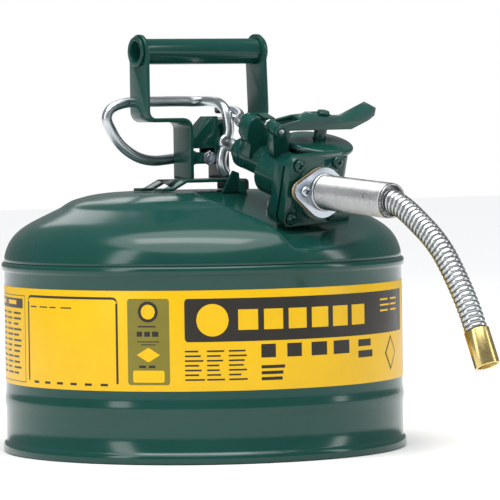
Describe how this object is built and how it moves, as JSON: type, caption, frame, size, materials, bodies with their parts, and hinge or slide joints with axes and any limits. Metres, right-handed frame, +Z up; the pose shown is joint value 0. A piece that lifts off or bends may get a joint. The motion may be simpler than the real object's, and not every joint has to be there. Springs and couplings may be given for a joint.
{
  "type": "safety gas can",
  "caption": "Round steel safety can for fuel: bar carrying handle, squeeze trigger, self-closing filler lid, pour valve and a flexible metal pouring hose.",
  "frame": {"origin": "middle of the box round everything but the free hose and its ferrule, on the floor under the foot", "axes": "+X along the carrying handle towards its front end, +Y away from the spout's side, +Z up"},
  "size_m": [0.2992, 0.438, 0.3064],
  "materials": {
    "green_enamel": "glossy dark green enamel",
    "label_film": "printed band",
    "zinc_plate": "zinc plated",
    "bare_steel": "bare",
    "brass": "bright",
    "black_rubber": "matt",
    "tan_fibre": "pressed fibre"
  },
  "bodies": {
    "can": {"bonnet_packing": "black_rubber", "bottom_pan": "green_enamel", "bracket_bolt": "zinc_plate", "bracket_nut": "zinc_plate", "can_body_shell": "green_enamel", "casting_gusset": "green_enamel", "cover_gasket": "black_rubber", "cover_plate": "green_enamel", "cover_screw_1": "green_enamel", "cover_screw_2": "green_enamel", "cover_screw_3": "green_enamel", "cover_screw_4": "green_enamel", "dome_top": "green_enamel", "fill_flame_arrester": "bare_steel", "flange_gasket": "tan_fibre", "flange_screw_1": "zinc_plate", "flange_screw_2": "zinc_plate", "front_handle_strap": "green_enamel", "grip_tube": "green_enamel", "handle_bridge": "green_enamel", "hose": "zinc_plate", "hose_collar": "bare_steel", "hose_ferrule": "brass", "hose_flange": "zinc_plate", "label_band": "label_film", "lever_hinge_pin": "zinc_plate", "lever_return_spring": "bare_steel", "lid_gasket": "black_rubber", "manifold_casting": "green_enamel", "pour_flame_arrester": "bare_steel", "rear_handle_strap": "green_enamel", "spout_barrel": "zinc_plate", "trigger_bracket": "green_enamel", "valve_bonnet": "green_enamel"},
    "trigger": {"trigger_bail": "zinc_plate", "trigger_channel": "green_enamel", "trigger_pivot_pin": "zinc_plate", "trigger_cotter": "zinc_plate", "vent_finger": "zinc_plate"},
    "valve_shaft_body": {"valve_shaft": "bare_steel"},
    "poppet": {"valve_poppet": "brass", "valve_seal": "black_rubber", "valve_spring": "bare_steel"},
    "vent": {"vent_button": "brass"},
    "cap_lever_body": {"cap_lever": "green_enamel"},
    "lid": {"lid_disc": "green_enamel", "lid_post": "green_enamel", "lid_rivet": "green_enamel"}
  },
  "joints": [
    {"name": "trigger_swing", "type": "hinge", "parent": "can", "child": "trigger", "pos_m": [0.0106, 0.0217, 0.2259], "axis": [0, 1, 0], "range_deg": [0, 10], "stiffness_Nm_per_rad": 0.9, "springref_deg": -17.19},
    {"name": "valve_shaft_turn", "type": "hinge", "parent": "can", "child": "valve_shaft_body", "pos_m": [0.0106, 0.0032, 0.2259], "axis": [-0.1908, 0.9362, 0.2952], "range_deg": [0, 10]},
    {"name": "poppet_slide", "type": "slide", "parent": "can", "child": "poppet", "axis": [-0.1908, 0.9362, 0.2952], "range_m": [0, 0.003]},
    {"name": "vent_slide", "type": "slide", "parent": "can", "child": "vent", "axis": [1, 0, 0], "range_m": [0, 0.0024]},
    {"name": "cap_lever_lift", "type": "hinge", "parent": "can", "child": "cap_lever_body", "pos_m": [0.0115, -0.06748, 0.23589], "axis": [0, -0.9537, -0.3007], "range_deg": [0, 60], "stiffness_Nm_per_rad": 0.35, "springref_deg": -28.65},
    {"name": "lid_relief", "type": "slide", "parent": "cap_lever_body", "child": "lid", "axis": [0, -0.3007, 0.9537], "range_m": [0, 0.0015], "stiffness_N_per_m": 6000, "springref_m": -0.001}
  ],
  "couplings": [
    {"joint": "valve_shaft_turn", "follows": "trigger_swing", "ratio": 1},
    {"joint": "poppet_slide", "follows": "trigger_swing", "m_per_rad": 0.017},
    {"joint": "vent_slide", "follows": "trigger_swing", "m_per_rad": 0.0137}
  ]
}
